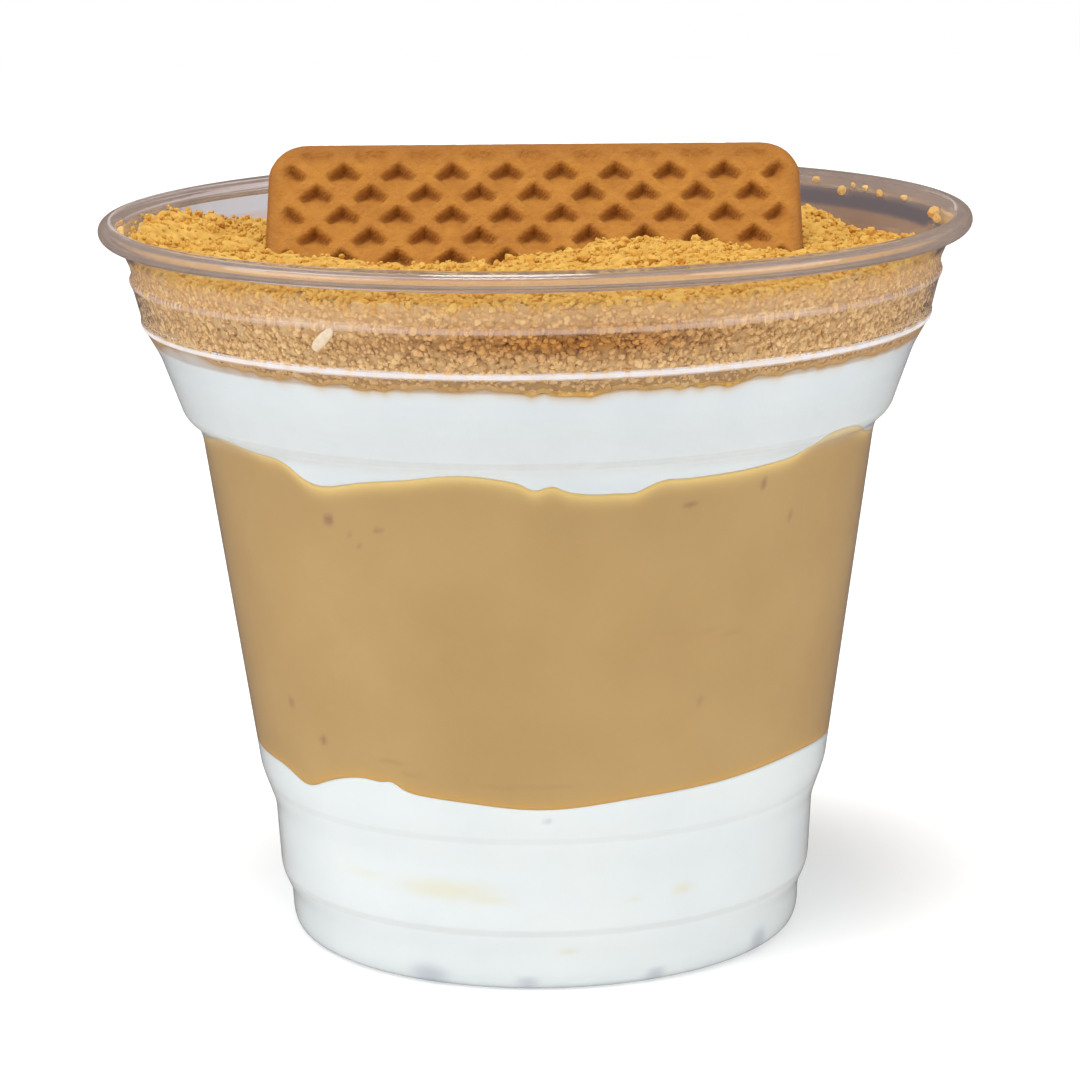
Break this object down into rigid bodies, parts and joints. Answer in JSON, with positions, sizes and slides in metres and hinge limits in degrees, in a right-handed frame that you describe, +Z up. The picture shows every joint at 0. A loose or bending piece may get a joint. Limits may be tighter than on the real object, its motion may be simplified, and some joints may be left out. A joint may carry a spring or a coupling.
{
  "type": "frozen yogurt cup",
  "caption": "Clear plastic dessert cup filled with frozen yogurt, a caramel cream layer and biscuit crumbs, with a waffle biscuit standing in the top.",
  "frame": {"origin": "middle of the ring that the cup stands on, at the height of the table", "axes": "+Z up the cup's axis; -Y to the front, which the patterned face of the waffle biscuit looks towards; +X to the right as seen from the front"},
  "size_m": [0.092, 0.092, 0.0825],
  "materials": {
    "clear_plastic": "polished",
    "yogurt": "satin",
    "caramel": "satin",
    "crumbs": "matte",
    "biscuit": "matte"
  },
  "bodies": {
    "root": {"cup": "clear_plastic", "yogurt_bottom": "yogurt", "caramel_layer": "caramel", "yogurt_top": "yogurt", "biscuit_crumbs": "crumbs", "waffle_biscuit": "biscuit"}
  },
  "joints": []
}
